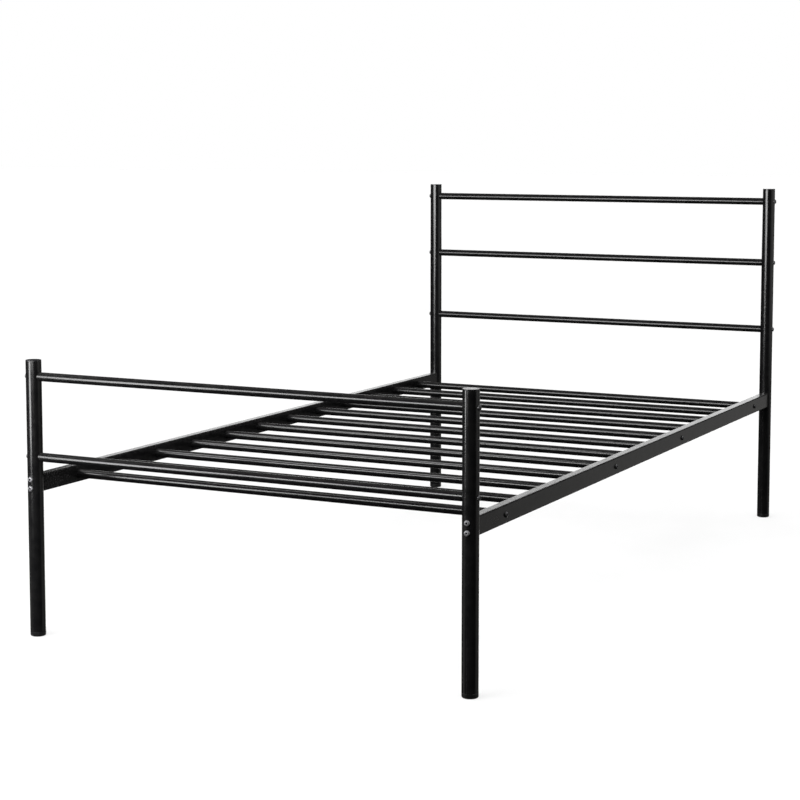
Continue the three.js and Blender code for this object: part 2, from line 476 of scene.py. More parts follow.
class SharedEffects:
    """Surface effects that several finishes use, each built once as a node group."""

    def __init__(self) -> None:
        """Builds every group."""
        self.orange_peel = self._orange_peel()
        self.edge_wear = self._edge_wear()
        self.dust = self._dust()
        self.hairlines = self._hairlines()

    @staticmethod
    def _orange_peel() -> bpy.types.NodeTree:
        """Height of a cured coat: slow waves, fine peel and a few raised specks.

        Returns:
            A group with a Height from 0 to 1 and a Cloud of slow variation.
        """
        tree, nodes, given, out = new_group(
            "orange_peel",
            {"Vector": (VECTOR, None), "Peel Scale": (FLOAT, 700.0), "Wave Scale": (FLOAT, 60.0),
             "Speck Amount": (FLOAT, 0.3)},
            {"Height": FLOAT, "Cloud": FLOAT})
        where = given.outputs["Vector"]
        peel = nodes.add("ShaderNodeTexNoise", Vector=where, Scale=given.outputs["Peel Scale"], Detail=2.0)
        wave = nodes.add("ShaderNodeTexNoise", Vector=where, Scale=given.outputs["Wave Scale"], Detail=2.0)
        specks = nodes.add("ShaderNodeTexVoronoi", Vector=where, Scale=130.0, Randomness=1.0)
        speck = nodes.spread(specks.outputs["Distance"], 0.03, 0.09, 1.0, 0.0)
        speck = nodes.math("MULTIPLY", speck, given.outputs["Speck Amount"])
        height = nodes.math("MULTIPLY_ADD", wave.outputs["Fac"], 0.35, peel.outputs["Fac"])
        height = nodes.math("ADD", height, speck)
        nodes.feed(out.inputs["Height"], height)
        nodes.feed(out.inputs["Cloud"], wave.outputs["Fac"])
        return tree

    @staticmethod
    def _edge_wear() -> bpy.types.NodeTree:
        """Rub marks on raised edges, broken up by noise.

        Returns:
            A group with a Mask from 0 to 1.
        """
        tree, nodes, given, out = new_group(
            "edge_wear",
            {"Vector": (VECTOR, None), "Reach": (FLOAT, 0.56), "Breakup Scale": (FLOAT, 260.0),
             "Strength": (FLOAT, 1.0)},
            {"Mask": FLOAT})
        shape = nodes.add("ShaderNodeNewGeometry").outputs["Pointiness"]
        edge = nodes.math("SUBTRACT", shape, given.outputs["Reach"])
        edge = nodes.spread(edge, 0.0, 0.06)
        breakup = nodes.add("ShaderNodeTexNoise", Vector=given.outputs["Vector"],
                            Scale=given.outputs["Breakup Scale"], Detail=4.0, Roughness=0.6)
        broken = nodes.spread(breakup.outputs["Fac"], 0.42, 0.62)
        mask = nodes.math("MULTIPLY", edge, broken)
        nodes.feed(out.inputs["Mask"], nodes.math("MULTIPLY", mask, given.outputs["Strength"]))
        return tree

    @staticmethod
    def _dust() -> bpy.types.NodeTree:
        """Thin dust that settles on faces that look up.

        Returns:
            A group with a Mask from 0 to 1.
        """
        tree, nodes, given, out = new_group(
            "settled_dust",
            {"Vector": (VECTOR, None), "Amount": (FLOAT, 0.3)},
            {"Mask": FLOAT})
        normal = nodes.add("ShaderNodeNewGeometry").outputs["Normal"]
        rise = nodes.add("ShaderNodeSeparateXYZ", Vector=normal).outputs["Z"]
        level = nodes.spread(rise, 0.55, 0.98)
        drift = nodes.noise(given.outputs["Vector"], 18.0, 4.0, 0.55)
        grain = nodes.noise(given.outputs["Vector"], 1900.0, 2.0, 0.6)
        drift = nodes.spread(drift, 0.3, 0.7, 0.35, 1.0)
        grain = nodes.spread(grain, 0.45, 0.62, 0.4, 1.0)
        mask = nodes.math("MULTIPLY", nodes.math("MULTIPLY", level, drift), grain)
        nodes.feed(out.inputs["Mask"], nodes.math("MULTIPLY", mask, given.outputs["Amount"]))
        return tree

    @staticmethod
    def _hairlines() -> bpy.types.NodeTree:
        """Fine handling scratches in crossing directions.

        Returns:
            A group with a Mask from 0 to 1.
        """
        tree, nodes, given, out = new_group(
            "hairline_scratches",
            {"Vector": (VECTOR, None), "Amount": (FLOAT, 0.4)},
            {"Mask": FLOAT})
        lines = None
        for turn, scale in ((0.4, 9.0), (1.3, 12.0), (2.3, 10.0)):
            mapped = nodes.add("ShaderNodeMapping", Vector=given.outputs["Vector"],
                               Rotation=(turn, 0.6 * turn, turn), Scale=(scale * 90, scale, scale * 14))
            thread = nodes.noise(mapped.outputs["Vector"], 1.0, 2.0, 0.4)
            line = nodes.spread(thread, 0.68, 0.74)
            lines = line if lines is None else nodes.math("MAXIMUM", lines, line)
        nodes.feed(out.inputs["Mask"], nodes.math("MULTIPLY", lines, given.outputs["Amount"]))
        return tree


# ------------------------------------------------------------------ finishes
def start_material(name: str) -> tuple[bpy.types.Material, Nodes, bpy.types.Node, bpy.types.NodeSocket]:
    """Starts a node material with a Principled shader.

    Args:
        name: name of the material.

    Returns:
        The material, its node helper, its shader and the object-space coordinates.
    """
    material = bpy.data.materials.new(name)
    material.use_nodes = True
    tree = material.node_tree
    shader = next(n for n in tree.nodes if n.type == "BSDF_PRINCIPLED")
    nodes = Nodes(tree)
    where = nodes.add("ShaderNodeTexCoord").outputs["Object"]
    return material, nodes, shader, where


@dataclass(frozen=True)
class PowderCoat:
    """Semi-gloss black powder coat on steel."""

    name: str = "black_powder_coat"
    shade: tuple[float, float, float, float] = (0.0042, 0.0042, 0.0045, 1.0)
    cloud_shade: tuple[float, float, float, float] = (0.0066, 0.0065, 0.0067, 1.0)
    worn_shade: tuple[float, float, float, float] = (0.045, 0.044, 0.045, 1.0)
    dust_shade: tuple[float, float, float, float] = (0.16, 0.155, 0.145, 1.0)
    roughness: tuple[float, float] = (0.17, 0.22)
    specular: float = 0.5
    peel_depth: float = 0.00003

    def material(self, effects: SharedEffects) -> bpy.types.Material:
        """Builds the material.

        Args:
            effects: shared effect groups.

        Returns:
            The material.
        """
        material, nodes, shader, where = start_material(self.name)
        peel = nodes.group(effects.orange_peel, Vector=where, Peel_Scale=650.0, Wave_Scale=55.0,
                           Speck_Amount=0.25)
        wear = nodes.group(effects.edge_wear, Vector=where, Reach=0.55, Strength=0.5).outputs["Mask"]
        dust = nodes.group(effects.dust, Vector=where, Amount=0.10).outputs["Mask"]
        cloud = nodes.spread(peel.outputs["Cloud"], 0.3, 0.7)
        colour = nodes.blend(cloud, self.shade, self.cloud_shade)
        colour = nodes.blend(wear, colour, self.worn_shade)
        nodes.feed(shader.inputs["Base Color"], nodes.blend(dust, colour, self.dust_shade))
        rough = nodes.spread(peel.outputs["Cloud"], 0.25, 0.75, *self.roughness)
        rough = nodes.math("MULTIPLY_ADD", dust, 0.35, rough)
        nodes.feed(shader.inputs["Roughness"], nodes.math("MULTIPLY_ADD", wear, 0.12, rough))
        shader.inputs["Specular IOR Level"].default_value = self.specular
        bump = nodes.add("ShaderNodeBump", Height=peel.outputs["Height"], Strength=0.35,
                         Distance=self.peel_depth)
        nodes.feed(shader.inputs["Normal"], bump.outputs["Normal"])
        return material


@dataclass(frozen=True)
class MouldedPlastic:
    """Black moulded plastic with a fine spark-eroded grain, scuffed near the floor."""

    name: str
    shade: tuple[float, float, float, float]
    roughness: tuple[float, float]
    grain_scale: float
    grain_depth: float
    scuff: float
    scratches: float
    scuff_top: float = 0.006

    def material(self, effects: SharedEffects) -> bpy.types.Material:
        """Builds the material.

        Args:
            effects: shared effect groups.

        Returns:
            The material.
        """
        material, nodes, shader, where = start_material(self.name)
        peel = nodes.group(effects.orange_peel, Vector=where, Peel_Scale=self.grain_scale, Wave_Scale=90.0,
                           Speck_Amount=0.0)
        wear = nodes.group(effects.edge_wear, Vector=where, Reach=0.54, Breakup_Scale=420.0, Strength=0.7)
        lines = nodes.group(effects.hairlines, Vector=where, Amount=self.scratches).outputs["Mask"]
        height = nodes.add("ShaderNodeSeparateXYZ", Vector=where).outputs["Z"]
        low = nodes.spread(height, 0.0, self.scuff_top, 1.0, 0.0)
        patches = nodes.spread(nodes.noise(where, 380.0, 4.0, 0.6), 0.45, 0.65)
        scuff = nodes.math("MULTIPLY", nodes.math("MULTIPLY", low, patches), self.scuff)
        marks = nodes.math("MAXIMUM", scuff, nodes.math("MAXIMUM", wear.outputs["Mask"], lines))
        pale = tuple(min(1.0, 4 * c + 0.02) for c in self.shade[:3]) + (1.0,)
        cloud = nodes.spread(peel.outputs["Cloud"], 0.3, 0.7)
        lighter = tuple(1.35 * c for c in self.shade[:3]) + (1.0,)
        colour = nodes.blend(cloud, self.shade, lighter)
        nodes.feed(shader.inputs["Base Color"], nodes.blend(marks, colour, pale))
        rough = nodes.spread(peel.outputs["Cloud"], 0.25, 0.75, *self.roughness)
        nodes.feed(shader.inputs["Roughness"], nodes.math("MULTIPLY_ADD", marks, 0.2, rough))
        bump = nodes.add("ShaderNodeBump", Height=peel.outputs["Height"], Strength=0.4,
                         Distance=self.grain_depth)
        nodes.feed(shader.inputs["Normal"], bump.outputs["Normal"])
        return material


@dataclass(frozen=True)
class PlatedSteel:
    """Zinc-plated bolt steel: turned marks, rubbed rims, a slightly mottled passivation and painted shade in
    its hollows.
    """

    name: str
    shade: tuple[float, float, float, float]
    mottle: tuple[float, float, float, float]
    rubbed: tuple[float, float, float, float]
    roughness: tuple[float, float]
    metallic: float
    # colour of the painted shade laid into hollows such as the hexagon socket
    painted_recess_shade: tuple[float, float, float, float]

    def material(self, effects: SharedEffects) -> bpy.types.Material:
        """Builds the material.

        Args:
            effects: shared effect groups.

        Returns:
            The material.
        """
        material, nodes, shader, where = start_material(self.name)
        wear = nodes.group(effects.edge_wear, Vector=where, Reach=0.53, Breakup_Scale=900.0, Strength=0.9)
        lines = nodes.group(effects.hairlines, Vector=where, Amount=0.5).outputs["Mask"]
        patches = nodes.spread(nodes.noise(where, 520.0, 4.0, 0.6), 0.35, 0.65)
        colour = nodes.blend(patches, self.shade, self.mottle)
        colour = nodes.blend(wear.outputs["Mask"], colour, self.rubbed)
        # Painted shade: concave places such as the hexagon socket are darkened towards a near-black colour
        # and made rougher, standing in for the shade a deep recess gets.
        hollow = nodes.add("ShaderNodeNewGeometry").outputs["Pointiness"]
        painted_recess_shade = nodes.spread(hollow, 0.40, 0.47, 1.0, 0.0)
        nodes.feed(shader.inputs["Base Color"], nodes.blend(painted_recess_shade, colour, self.painted_recess_shade))
        shader.inputs["Metallic"].default_value = self.metallic
        rough = nodes.spread(patches, 0.0, 1.0, *self.roughness)
        rough = nodes.math("MULTIPLY_ADD", painted_recess_shade, 0.3, rough)
        nodes.feed(shader.inputs["Roughness"], nodes.math("MULTIPLY_ADD", lines, 0.15, rough))
        fine = nodes.noise(where, 5200.0, 2.0, 0.5)
        height = nodes.math("MULTIPLY_ADD", lines, -0.6, fine)
        bump = nodes.add("ShaderNodeBump", Height=height, Strength=0.3, Distance=0.00002)
        nodes.feed(shader.inputs["Normal"], bump.outputs["Normal"])
        return material


FINISHES = {
    Finish.POWDER_COAT: PowderCoat(),
    Finish.FOOT_PLASTIC: MouldedPlastic(
        name="foot_moulding", shade=(0.0045, 0.0045, 0.0048, 1.0), roughness=(0.34, 0.44),
        grain_scale=1800.0, grain_depth=0.00005, scuff=0.5, scratches=0.25),
    Finish.CAP_PLASTIC: MouldedPlastic(
        name="cap_moulding", shade=(0.012, 0.012, 0.013, 1.0), roughness=(0.16, 0.24),
        grain_scale=900.0, grain_depth=0.00001, scuff=0.0, scratches=0.3),
    Finish.BRIGHT_ZINC: PlatedSteel(
        name="bright_zinc_plate", shade=(0.27, 0.27, 0.28, 1.0), mottle=(0.22, 0.22, 0.23, 1.0),
        rubbed=(0.55, 0.55, 0.56, 1.0), roughness=(0.48, 0.58), metallic=0.65,
        painted_recess_shade=(0.012, 0.011, 0.010, 1.0)),
    Finish.BLACK_ZINC: PlatedSteel(
        name="black_zinc_plate", shade=(0.115, 0.115, 0.118, 1.0), mottle=(0.090, 0.090, 0.093, 1.0),
        rubbed=(0.30, 0.30, 0.31, 1.0), roughness=(0.32, 0.40), metallic=0.60,
        painted_recess_shade=(0.060, 0.059, 0.058, 1.0)),
}


# ------------------------------------------------------------------ workshop
@dataclass
class Workshop:
    """Turns finished meshes into pieces of the bed, with finish, body and design node."""

    effects: SharedEffects
    smooth_angle: float = math.radians(32)
    materials: dict[Finish, bpy.types.Material] = field(default_factory=dict)

    def finish(self, kind: Finish) -> bpy.types.Material:
        """Material of a finish, built at its first use.

        Args:
            kind: finish.

        Returns:
            The material.
        """
        if kind not in self.materials:
            self.materials[kind] = FINISHES[kind].material(self.effects)
        return self.materials[kind]

    def cut(self, body: bpy.types.Object, *cutters: bmesh.types.BMesh) -> None:
        """Cuts each cutter out of a body and removes the cutters.

        Args:
            body: object to cut.
            *cutters: meshes of separate solids, used one after the other.
        """
        for number, cutter in enumerate(cutters):
            drill = loose(cutter, f"cutter_{number}")
            step = body.modifiers.new("cut", "BOOLEAN")
            step.operation = "DIFFERENCE"
            step.solver = "EXACT"
            step.object = drill
            self.settle(body)
            bpy.data.objects.remove(drill)

    @staticmethod
    def settle(thing: bpy.types.Object) -> None:
        """Applies an object's modifiers to its mesh.

        Args:
            thing: the object.
        """
        graph = bpy.context.evaluated_depsgraph_get()
        graph.update()
        result = bpy.data.meshes.new_from_object(thing.evaluated_get(graph), depsgraph=graph)
        old = thing.data
        thing.modifiers.clear()
        thing.data = result
        bpy.data.meshes.remove(old)

    def hand_over(self, thing: bpy.types.Object, node: str, kind: Finish) -> bpy.types.Object:
        """Smooths, dresses and registers a piece that stands for a design node.

        Args:
            thing: the finished shape, in place.
            node: design node that it stands for.
            kind: finish.

        Returns:
            The same object.
        """
        data = thing.data
        for face in data.polygons:
            face.use_smooth = True
        data.set_sharp_from_angle(angle=self.smooth_angle)
        weighted = thing.modifiers.new("weighted_normals", "WEIGHTED_NORMAL")
        weighted.keep_sharp = True
        weighted.weight = 60
        self.settle(thing)
        thing.data.materials.clear()
        thing.data.materials.append(self.finish(kind))
        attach(thing, BODY)
        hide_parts(node)
        LOG.info("%s: %d faces, %s", thing.name, len(thing.data.polygons), kind.value)
        return thing


# ------------------------------------------------------------------ single pieces
@dataclass
class PostTube:
    """Round post, open at both ends and drilled for its bolts."""

    node: str
    rail_heights: Sequence[float]
    bolt_heights: Sequence[float]
    wall: float = 1.5 * MM
    hole: float = 3.3 * MM
    lip: float = 0.35 * MM
    ring_reach: float = 1.35
    drill_reach: float = 1.4
    sides: int = 96

    def rings(self, radius: float, low: float, high: float) -> list[Ring]:
        """Profile of the tube: outer wall with a ring either side of each hole, then the bore.

        Args:
            radius: outer radius.
            low: height of the lower end.
            high: height of the upper end.

        Returns:
            The rings of a closed profile.
        """
        near_hole = self.ring_reach * self.hole
        outer = arc((radius - self.lip, low + self.lip), self.lip, -90, 0, 3)
        drilled = sorted([*self.rail_heights, *self.bolt_heights])
        marks = [z + s * near_hole for z in drilled for s in (-1, 1)]
        outer += [Ring(radius, z) for z in marks]
        outer += arc((radius - self.lip, high - self.lip), self.lip, 0, 90, 3)
        bore = radius - self.wall
        inner = [Ring(bore, high), *[Ring(bore, z) for z in reversed(marks)], Ring(bore, low)]
        return outer + inner

    def make(self, shop: Workshop) -> bpy.types.Object:
        """Builds and hands over the post.

        Args:
            shop: workshop that dresses it.

        Returns:
            The piece.
        """
        box = NodeBox.of(self.node)
        radius = box.size.x / 2
        centre = box.centre
        mesh = spin(self.rings(radius, box.low.z, box.high.z), self.sides, closed=True)
        bmesh.ops.translate(mesh, verts=mesh.verts, vec=(centre.x, centre.y, 0))
        tube = loose(mesh, f"{self.node}_tube")
        drill = bmesh.new()
        reach = self.drill_reach * radius
        bores = ((self.rail_heights, Vector((1, 0, 0))), (self.bolt_heights, Vector((0, 1, 0))))
        for heights, direction in bores:
            for z in heights:
                middle = Vector((centre.x, centre.y, z))
                start, end = middle - reach * direction, middle + reach * direction
                cylinder(self.hole, start, end, HOLE_SIDES, drill)
        shop.cut(tube, drill)
        return shop.hand_over(tube, self.node, Finish.POWDER_COAT)


@dataclass
class PostCap:
    """Moulded cap with a softened rim and a ribbed stem inside the post."""

    node: str
    thickness: float = 2.5 * MM
    rim: float = 0.9 * MM
    stem_inset: float = 1.8 * MM
    stem_wall: float = 1.9 * MM
    rib: float = 0.22 * MM
    rib_shares: Sequence[float] = (0.2, 0.5, 0.8)
    rib_ramp: float = 0.9 * MM
    rib_land: float = 0.4 * MM
    bulge: float = 0.2 * MM
    lead_in: float = 0.5 * MM
    chamfer: float = 0.3 * MM
    dish: float = 0.05 * MM
    sides: int = 96

    def make(self, shop: Workshop) -> bpy.types.Object:
        """Builds and hands over the cap.

        Args:
            shop: workshop that dresses it.

        Returns:
            The piece.
        """
        box = NodeBox.of(self.node)
        radius = box.size.x / 2
        top = box.high.z
        under = top - self.thickness
        stem = radius - self.stem_inset
        rings = [Ring(0, under - self.bulge), Ring(stem - self.stem_wall, under)]
        rings += [Ring(stem - self.stem_wall, box.low.z), Ring(stem - self.lead_in, box.low.z)]
        for share in self.rib_shares:
            z = box.low.z + share * (under - box.low.z)
            rings += [Ring(stem, z - self.rib_ramp), Ring(stem + self.rib, z - self.rib_land)]
            rings += [Ring(stem, z + self.rib_land)]
        rings += [Ring(stem, under), Ring(radius - self.chamfer, under)]
        rings += [Ring(radius, under + self.chamfer)]
        rings += arc((radius - self.rim, top - self.rim), self.rim, 0, 90, 6)
        rings += [Ring(radius * 0.8, top - 0.4 * self.dish), Ring(radius * 0.4, top - self.dish)]
        rings += [Ring(0, top - self.dish)]
        mesh = spin(rings, self.sides)
        bmesh.ops.translate(mesh, verts=mesh.verts, vec=(box.centre.x, box.centre.y, 0))
        return shop.hand_over(loose(mesh, f"{self.node}_moulding"), self.node, Finish.CAP_PLASTIC)


@dataclass
class PostFoot:
    """Moulded foot: rounded pad with a recessed sole and a ribbed stem inside the post."""

    node: str
    pad_height: float = 10 * MM
    rounding: float = 3.2 * MM
    stem_inset: float = 2.4 * MM
    stem_wall: float = 2 * MM
    floor_height: float = 4 * MM
    sole_depth: float = 1.2 * MM
    well_share: float = 0.55
    well_bevel: float = 0.3 * MM
    sole_edge: float = 0.2 * MM
    chamfer: float = 0.4 * MM
    rib: float = 0.22 * MM
    rib_shares: Sequence[float] = (0.25, 0.5, 0.75)
    rib_ramp: float = 0.5 * MM
    rib_fall: float = 1.0 * MM
    tip: tuple[float, float] = (0.6 * MM, 0.8 * MM)
    sides: int = 96

    def make(self, shop: Workshop) -> bpy.types.Object:
        """Builds and hands over the foot.

        Args:
            shop: workshop that dresses it.

        Returns:
            The piece.
        """
        box = NodeBox.of(self.node)
        radius = box.size.x / 2
        top = box.high.z
        stem = radius - self.stem_inset
        well = radius * self.well_share
        rings = [Ring(0, self.sole_depth), Ring(well * 0.3, self.sole_depth)]
        rings += [Ring(well - self.well_bevel, self.sole_depth)]
        rings += [Ring(well, self.sole_depth - self.well_bevel)]
        rings += [Ring(well, self.sole_edge), Ring(well + self.sole_edge, 0)]
        rings += arc((radius - self.rounding, self.rounding), self.rounding, -90, 0, 8)
        rings += [Ring(radius, self.pad_height - self.chamfer)]
        rings += [Ring(radius - self.chamfer, self.pad_height)]
        rings += [Ring(stem, self.pad_height)]
        for share in self.rib_shares:
            z = self.pad_height + share * (top - self.pad_height)
            rings += [Ring(stem, z - self.rib_ramp), Ring(stem + self.rib, z), Ring(stem, z + self.rib_fall)]
        rings += [Ring(stem, top - self.tip[1]), Ring(stem - self.tip[0], top)]
        rings += [Ring(stem - self.stem_wall, top)]
        rings += [Ring(stem - self.stem_wall, self.floor_height), Ring(0, self.floor_height)]
        mesh = spin(rings, self.sides)
        bmesh.ops.translate(mesh, verts=mesh.verts, vec=(box.centre.x, box.centre.y, 0))
        return shop.hand_over(loose(mesh, f"{self.node}_moulding"), self.node, Finish.FOOT_PLASTIC)


@dataclass
class RoundBar:
    """Round tube laid across the bed, with straight or coped ends and optional drilled plugs."""

    node: str
    wall: float
    plug: float = 0.0
    hole: float = 3.3 * MM
    land: float = 1.6 * MM
    lip: float = 0.4 * MM
    cope: float = 0.0
    cope_centre: float = 0.0
    sides: int = 72

    def rings(self, radius: float, half: float) -> list[Ring]:
        """Profile of the tube about its length.

        Args:
            radius: outer radius.
            half: half length, up to the nearest point of a coped end.

        Returns:
            The rings of a closed profile.
        """
        inner = radius - self.wall
        outer = [Ring(radius - self.lip, -half), Ring(radius, -half + self.lip)]
        outer += [Ring(radius, half * share) for share in (-0.5, 0.0, 0.5)]
        outer += [Ring(radius, half - self.lip), Ring(radius - self.lip, half)]
        if not self.plug:
            return outer + [Ring(inner, half), Ring(inner, -half)]
        deep = half - self.plug
        mouth = self.hole + self.land
        bore = [Ring(mouth, half), Ring(self.hole, half), Ring(self.hole, deep), Ring(inner, deep)]
        bore += [Ring(inner, -deep), Ring(self.hole, -deep), Ring(self.hole, -half)]
        return outer + bore + [Ring(mouth, -half)]

    def saddle(self, mesh: bmesh.types.BMesh, half: float) -> None:
        """Bends both ends to the round of the posts.

        Args:
            mesh: the tube along X.
            half: half length of the straight tube.
        """
        for vert in mesh.verts:
            if abs(vert.co.x) > half - 1.5 * self.lip:
                back = half - abs(vert.co.x)
                reach = self.cope_centre - math.sqrt(self.cope ** 2 - vert.co.y ** 2) - back
                vert.co.x = math.copysign(reach, vert.co.x)

    def make(self, shop: Workshop) -> bpy.types.Object:
        """Builds and hands over the tube.

        Args:
            shop: workshop that dresses it.

        Returns:
            The piece.
        """
        box = NodeBox.of(self.node)
        radius = box.size.z / 2
        half = self.cope_centre - self.cope if self.cope else box.size.x / 2
        mesh = spin(self.rings(radius, half), self.sides, closed=True)
        bmesh.ops.transform(mesh, matrix=Axis.RIGHT.turn, verts=mesh.verts)
        if self.cope:
            self.saddle(mesh, half)
        bmesh.ops.translate(mesh, verts=mesh.verts, vec=box.centre)
        return shop.hand_over(loose(mesh, f"{self.node}_tube"), self.node, Finish.POWDER_COAT)


@dataclass
class SideRail:
    """Box-section side rail: coped ends, slat sockets in its inner wall, bolt holes in its outer."""

    node: str
    side: int
    cope: float
    post_y: float
    slats: Sequence[tuple[Vector, float, bool]]
    bolt_heights: Sequence[float]
    wall: float = 1.5 * MM
    corner: float = 3 * MM
    plug: float = 18 * MM
    hole: float = 3.3 * MM
    clearance: float = 0.3 * MM
    past_plug: float = 2 * MM
    past_end: float = 12 * MM

    def drills(self, box: NodeBox) -> bmesh.types.BMesh:
        """Cutters for every socket and hole.

        Args:
            box: box of the rail.

        Returns:
            One mesh of separate cylinders.
        """
        drill = bmesh.new()
        through = 2 * self.wall * Vector((1, 0, 0))
        half = box.size.x / 2
        inner = box.centre.x - self.side * half
        outer = box.centre.x + self.side * half
        for place, radius, bolted in self.slats:
            at = Vector((inner, place.y, place.z))
            cylinder(radius + self.clearance, at - through, at + through, SOCKET_SIDES, drill)
            if bolted:
                at = Vector((outer, place.y, place.z))
                cylinder(self.hole, at - through, at + through, HOLE_SIDES, drill)
        along = Vector((0, 1, 0))
        for sign in (-1, 1):
            deep = sign * (self.post_y - self.cope - self.plug - self.past_plug)
            for z in self.bolt_heights:
                start = Vector((box.centre.x, deep, z))
                end = start + sign * (self.plug + self.past_end) * along
                cylinder(self.hole, start, end, HOLE_SIDES, drill)
        return drill

    def make(self, shop: Workshop) -> bpy.types.Object:
        """Builds and hands over the rail.

        Args:
            shop: workshop that dresses it.

        Returns:
            The piece.
        """
        box = NodeBox.of(self.node)
        width, height = box.size.x, box.size.z
        body = BoxSection(width, height, self.corner).bar(
            lambda x: self.post_y - math.sqrt(self.cope ** 2 - x ** 2))
        cavity = BoxSection(width - 2 * self.wall, height - 2 * self.wall, self.corner - self.wall, 3).bar(
            lambda x: self.post_y - self.cope - self.plug)
        for mesh in (body, cavity):
            bmesh.ops.translate(mesh, verts=mesh.verts, vec=box.centre)
        rail = loose(body, f"{self.node}_box_tube")
        shop.cut(rail, cavity, self.drills(box))
        return shop.hand_over(rail, self.node, Finish.POWDER_COAT)


@dataclass
class ButtonBolt:
    """Button-head bolt with a hexagon socket, its seat flat or hollowed to a round post."""

    node: str
    direction: Axis
    kind: Finish
    seat: float = 0.0
    shank: float = 3 * MM
    head_height: float = 3.3 * MM
    socket: float = 2 * MM
    socket_depth: float = 2.8 * MM
    socket_bevel: float = 0.2 * MM
    socket_cone: float = 0.5 * MM
    socket_mouth: float = 1.06
    socket_land: float = 1.28
    edge: float = 0.25 * MM
    rim: float = 0.7 * MM
    dome_draw: float = 0.5
    dome_power: float = 1.7
    dome_steps: int = 8
    pitch: float = 1 * MM
    thread: float = 14 * MM
    thread_depth: float = 0.55
    thread_end: float = 1.2
    tip: tuple[float, float] = (0.3 * MM, 0.4 * MM)
    seat_margin: float = 0.1 * MM
    seat_top: float = 0.3 * MM
    sides: int = 48

    def rings(self, radius: float, length: float) -> list[Ring]:
        """Profile of the bolt, its seat at height 0.

        Args:
            radius: radius of the head.
            length: length of the shank under the seat.

        Returns:
            The rings from the tip to the floor of the socket.
        """
        core = self.shank - self.thread_depth * self.pitch
        draw, start = self.tip
        rings = [Ring(0, -length), Ring(core - draw, -length), Ring(core, -length + start)]
        turns = int(self.thread / self.pitch)
        for i in range(turns):
            z = -length + start + (i + 0.5) * self.pitch
            rings += [Ring(self.shank, z), Ring(core, z + 0.5 * self.pitch)]
        smooth_from = -length + self.thread + self.thread_end * self.pitch
        rings += [Ring(self.shank, smooth_from), Ring(self.shank, 0)]
        rings += [Ring(radius - self.edge, 0), Ring(radius, self.edge), Ring(radius, self.rim)]
        crown = self.head_height
        for i in range(1, self.dome_steps):
            share = i / self.dome_steps
            out = radius * (1 - self.dome_draw * share ** self.dome_power)
            rings.append(Ring(out, self.rim + (crown - self.rim) * math.sin(share * math.pi / 2)))
        hexagon = Section.HEXAGON
        rings += [Ring(self.socket * self.socket_land, crown)]
        rings += [Ring(self.socket * self.socket_mouth, crown, hexagon)]
        rings += [Ring(self.socket, crown - self.socket_bevel, hexagon)]
        rings += [Ring(self.socket, crown - self.socket_depth, hexagon)]
        rings += [Ring(0, crown - self.socket_depth - self.socket_cone)]
        return rings

    def hollow_seat(self, mesh: bmesh.types.BMesh) -> None:
        """Wraps the underside of the head round the post's tube, which stands along the bolt's +Y.

        Args:
            mesh: the bolt along Z.
        """
        for vert in mesh.verts:
            out = math.hypot(vert.co.x, vert.co.y)
            if out > self.shank + self.seat_margin and vert.co.z < self.seat_top:
                vert.co.z -= self.seat - math.sqrt(self.seat ** 2 - vert.co.x ** 2)

    def make(self, shop: Workshop) -> bpy.types.Object:
        """Builds and hands over the bolt.

        Args:
            shop: workshop that dresses it.

        Returns:
            The piece.
        """
        box = NodeBox.of(self.node)
        turn = self.direction.turn
        outward = turn.to_3x3() @ Vector((0, 0, 1))
        reach = abs(box.size.dot(outward))
        radius = box.size.z / 2
        crown_point = box.centre + outward * reach / 2
        mesh = spin(self.rings(radius, reach - self.head_height), self.sides)
        if self.seat:
            self.hollow_seat(mesh)
        place = Matrix.Translation(crown_point - outward * self.head_height) @ turn
        bmesh.ops.transform(mesh, matrix=place, verts=mesh.verts)
        return shop.hand_over(loose(mesh, f"{self.node}_button_head"), self.node, self.kind)


# ------------------------------------------------------------------ sub-assemblies
@dataclass
class EndFrame:
    """Headboard or footboard: two posts with feet, caps and bolts, joined by cross rails."""

    end: str
    levels: Sequence[str]
    outward: Axis
    cope_gap: float = 0.3 * MM
    rail_wall: float = 1.5 * MM
    plug: float = 18 * MM

    def rail_heights(self) -> list[float]:
        """Heights of the cross rails' axes."""
        return [NodeBox.of(f"{self.end}_rail_{level}").centre.z for level in self.levels]

    def bolt_heights(self) -> list[float]:
        """Heights of the two corner bolts."""
        return [NodeBox.of(f"{self.end}_corner_bolt_{level}_left").centre.z for level in ("lower", "upper")]

    def build(self, shop: Workshop) -> list[bpy.types.Object]:
        """Builds and dresses every piece of the end.

        Args:
            shop: workshop that dresses the pieces.

        Returns:
            The pieces.
        """
        post = NodeBox.of(f"{self.end}_post_right")
        cope = post.size.x / 2 + self.cope_gap
        pieces = []
        for side, sideways in (("left", Axis.LEFT), ("right", Axis.RIGHT)):
            tube = PostTube(f"{self.end}_post_{side}", self.rail_heights(), self.bolt_heights())
            pieces.append(tube.make(shop))
            pieces.append(PostCap(f"{self.end}_post_cap_{side}").make(shop))
            pieces.append(PostFoot(f"{self.end}_foot_{side}").make(shop))
            for level in self.levels:
                node = f"{self.end}_{level}_rail_bolt_{side}"
                pieces.append(ButtonBolt(node, sideways, Finish.BLACK_ZINC, seat=cope).make(shop))
            for level in ("lower", "upper"):
                node = f"{self.end}_corner_bolt_{level}_{side}"
                pieces.append(ButtonBolt(node, self.outward, Finish.BRIGHT_ZINC, seat=cope).make(shop))
        for level in self.levels:
            bar = RoundBar(f"{self.end}_rail_{level}", self.rail_wall, self.plug,
                           cope=cope, cope_centre=post.centre.x)
            pieces.append(bar.make(shop))
        return pieces


